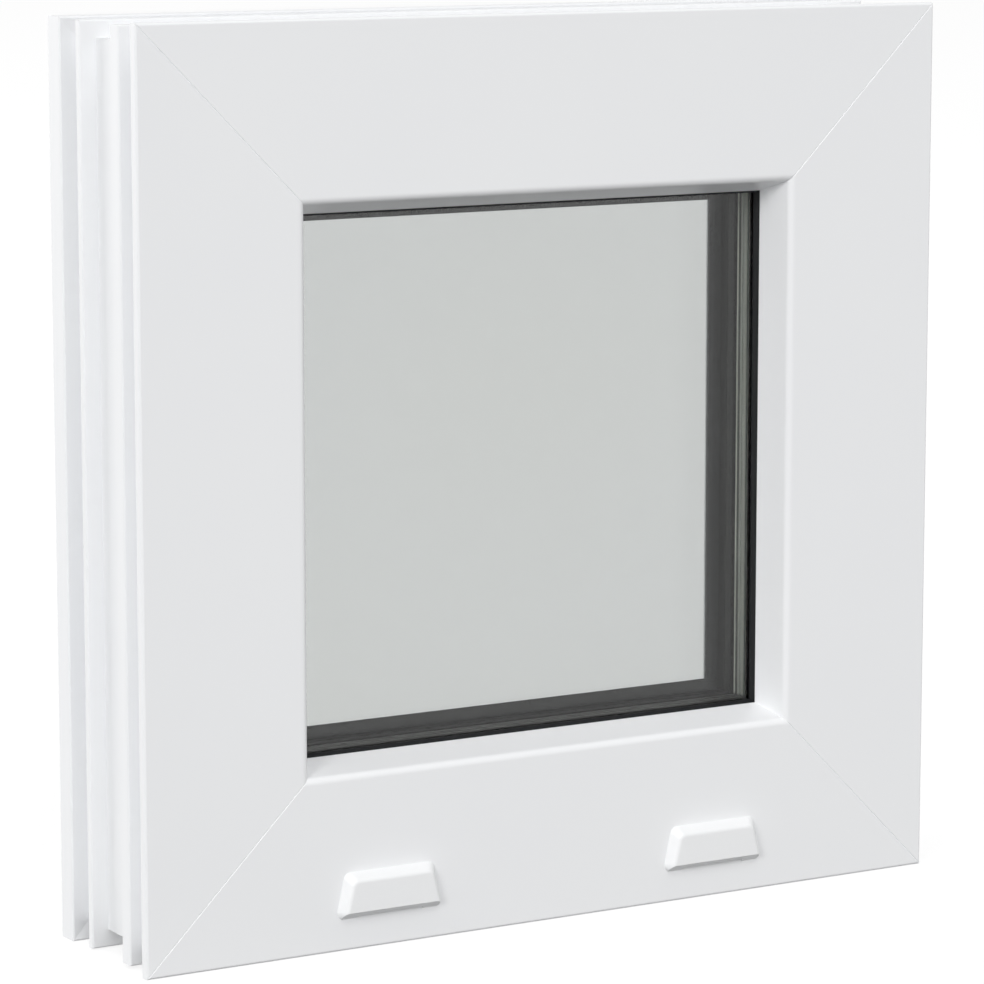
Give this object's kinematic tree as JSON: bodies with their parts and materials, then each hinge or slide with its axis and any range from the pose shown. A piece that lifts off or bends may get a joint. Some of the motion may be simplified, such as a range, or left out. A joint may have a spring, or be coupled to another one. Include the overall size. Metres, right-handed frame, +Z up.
{
  "type": "basement window",
  "caption": "Small square fixed basement window: mitre-welded white plastic frame, sealed glazed unit, clip-in beads and drain caps on the sill",
  "frame": {"origin": "on the floor under the middle of the sill, half-way through the whole depth, caps included", "axes": "+X along the sill to the right seen from outside, +Y from the weather side to the room, +Z up"},
  "size_m": [0.4, 0.0896, 0.4],
  "materials": {
    "white_pvc": "extruded white PVC-U with a satin gloss skin",
    "cap_plastic": "injection-moulded white plastic, satin",
    "black_rubber": "matt black extruded rubber seal",
    "clear_glass": "clear float glass with a faint grey-green tint",
    "spacer_bar": "dark grey satin spacer bar",
    "edge_sealant": "black elastic edge sealant",
    "block_plastic": "blue ribbed hard plastic glazing block"
  },
  "bodies": {
    "root": {"frame_sill": "white_pvc", "bead_sill": "white_pvc", "outer_seal_sill": "black_rubber", "bead_seal_sill": "black_rubber", "glazing_block_sill_a": "block_plastic", "glazing_block_sill_b": "block_plastic", "frame_left_jamb": "white_pvc", "bead_left_jamb": "white_pvc", "outer_seal_left_jamb": "black_rubber", "bead_seal_left_jamb": "black_rubber", "glazing_block_left_jamb_a": "block_plastic", "glazing_block_left_jamb_b": "block_plastic", "frame_head": "white_pvc", "bead_head": "white_pvc", "outer_seal_head": "black_rubber", "bead_seal_head": "black_rubber", "glazing_block_head_a": "block_plastic", "glazing_block_head_b": "block_plastic", "frame_right_jamb": "white_pvc", "bead_right_jamb": "white_pvc", "outer_seal_right_jamb": "black_rubber", "bead_seal_right_jamb": "black_rubber", "glazing_block_right_jamb_a": "block_plastic", "glazing_block_right_jamb_b": "block_plastic", "outer_pane": "clear_glass", "middle_pane": "clear_glass", "inner_pane": "clear_glass", "outer_spacer": "spacer_bar", "outer_edge_seal": "edge_sealant", "inner_spacer": "spacer_bar", "inner_edge_seal": "edge_sealant", "drain_cap_left": "cap_plastic", "drain_cap_right": "cap_plastic"}
  },
  "joints": []
}
